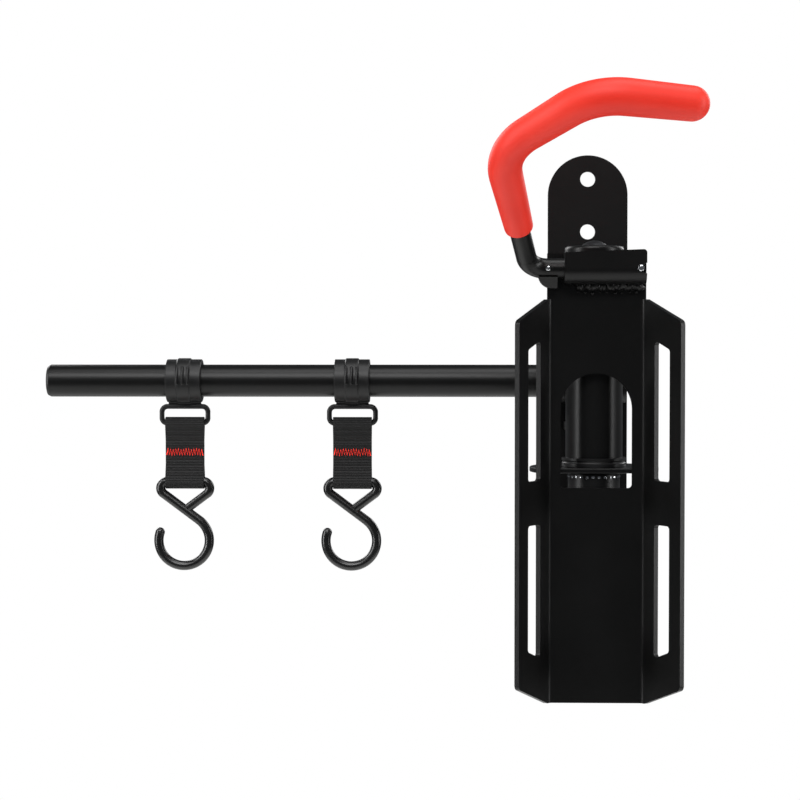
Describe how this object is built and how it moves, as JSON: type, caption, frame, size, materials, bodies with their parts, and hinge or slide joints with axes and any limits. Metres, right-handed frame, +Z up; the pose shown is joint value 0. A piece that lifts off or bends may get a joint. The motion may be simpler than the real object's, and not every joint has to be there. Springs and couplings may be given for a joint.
{
  "type": "bicycle wall rack",
  "caption": "Wall rack for a bicycle: a folded steel wheel tray swings on a pivot tube and carries a sleeved folding hook, beside a bar with sliding strap hangers.",
  "frame": {"origin": "middle of the upper pair of wall screw holes, on the wall face of the wall plate", "axes": "+X to the right as seen from the room, +Y into the wall, +Z up"},
  "size_m": [0.3902, 0.2199, 0.3541],
  "materials": {
    "black_powder_coat": "satin black powder coat with a fine grain",
    "black_plastic": "moulded black nylon, slightly satin",
    "zinc_steel": "bright zinc-plated steel",
    "black_oxide_steel": "dark oiled steel",
    "red_rubber": "smooth red soft vinyl, satin",
    "black_webbing": "ribbed black polyester webbing",
    "red_thread": "dense red bar tack stitching",
    "coated_wire": "glossy black dip coat on steel wire"
  },
  "bodies": {
    "wall_bracket": {"wall_plate": "black_powder_coat", "upper_arm": "black_powder_coat", "lower_arm": "black_powder_coat", "pivot_tube": "black_powder_coat", "upper_bush": "black_plastic", "lower_bush": "black_plastic", "bar_socket": "black_powder_coat", "bar_set_screw": "zinc_steel", "gear_bar": "black_powder_coat", "bar_end_plug": "black_plastic"},
    "tray_unit": {"tray": "black_powder_coat", "upper_swivel_plate": "black_powder_coat", "lower_swivel_plate": "black_powder_coat", "hinge_barrel": "black_powder_coat", "barrel_weld": "black_powder_coat", "rod_retaining_pin": "zinc_steel", "pivot_bolt": "black_oxide_steel", "pivot_cap": "black_powder_coat", "pivot_nut": "zinc_steel", "nut_cover": "black_plastic"},
    "wheel_hook": {"hook_rod": "black_powder_coat", "hook_sleeve": "red_rubber", "stop_lug": "black_powder_coat", "stop_pin": "zinc_steel"},
    "clip_outer": {"clip_outer": "black_plastic"},
    "strap_outer": {"strap_outer": "black_webbing", "stitching_outer": "red_thread"},
    "wire_hook_outer": {"wire_hook_outer": "coated_wire"},
    "clip_inner": {"clip_inner": "black_plastic"},
    "strap_inner": {"strap_inner": "black_webbing", "stitching_inner": "red_thread"},
    "wire_hook_inner": {"wire_hook_inner": "coated_wire"}
  },
  "joints": [
    {"name": "tray_swivel", "type": "hinge", "parent": "wall_bracket", "child": "tray_unit", "pos_m": [0, -0.073, -0.0985], "axis": [0, 0, 1], "range_deg": [-75, 90]},
    {"name": "hook_fold", "type": "hinge", "parent": "tray_unit", "child": "wheel_hook", "pos_m": [0, -0.10466, -0.0427], "axis": [-1, 0, 0], "range_deg": [0, 80]},
    {"name": "clip_outer_slide", "type": "slide", "parent": "wall_bracket", "child": "clip_outer", "axis": [1, 0, 0], "range_m": [-0.06, 0.03]},
    {"name": "strap_outer_swing", "type": "hinge", "parent": "clip_outer", "child": "strap_outer", "pos_m": [-0.2515, -0.027, -0.1363], "axis": [-1, 0, 0], "range_deg": [-15, 80]},
    {"name": "wire_hook_outer_swing", "type": "hinge", "parent": "strap_outer", "child": "wire_hook_outer", "pos_m": [-0.2515, -0.027, -0.1727], "axis": [-1, 0, 0], "range_deg": [-90, 90]},
    {"name": "clip_inner_slide", "type": "slide", "parent": "wall_bracket", "child": "clip_inner", "axis": [1, 0, 0], "range_m": [-0.035, 0.045]},
    {"name": "strap_inner_swing", "type": "hinge", "parent": "clip_inner", "child": "strap_inner", "pos_m": [-0.147, -0.027, -0.1363], "axis": [-1, 0, 0], "range_deg": [-15, 80]},
    {"name": "wire_hook_inner_swing", "type": "hinge", "parent": "strap_inner", "child": "wire_hook_inner", "pos_m": [-0.147, -0.027, -0.1727], "axis": [-1, 0, 0], "range_deg": [-90, 90]}
  ]
}
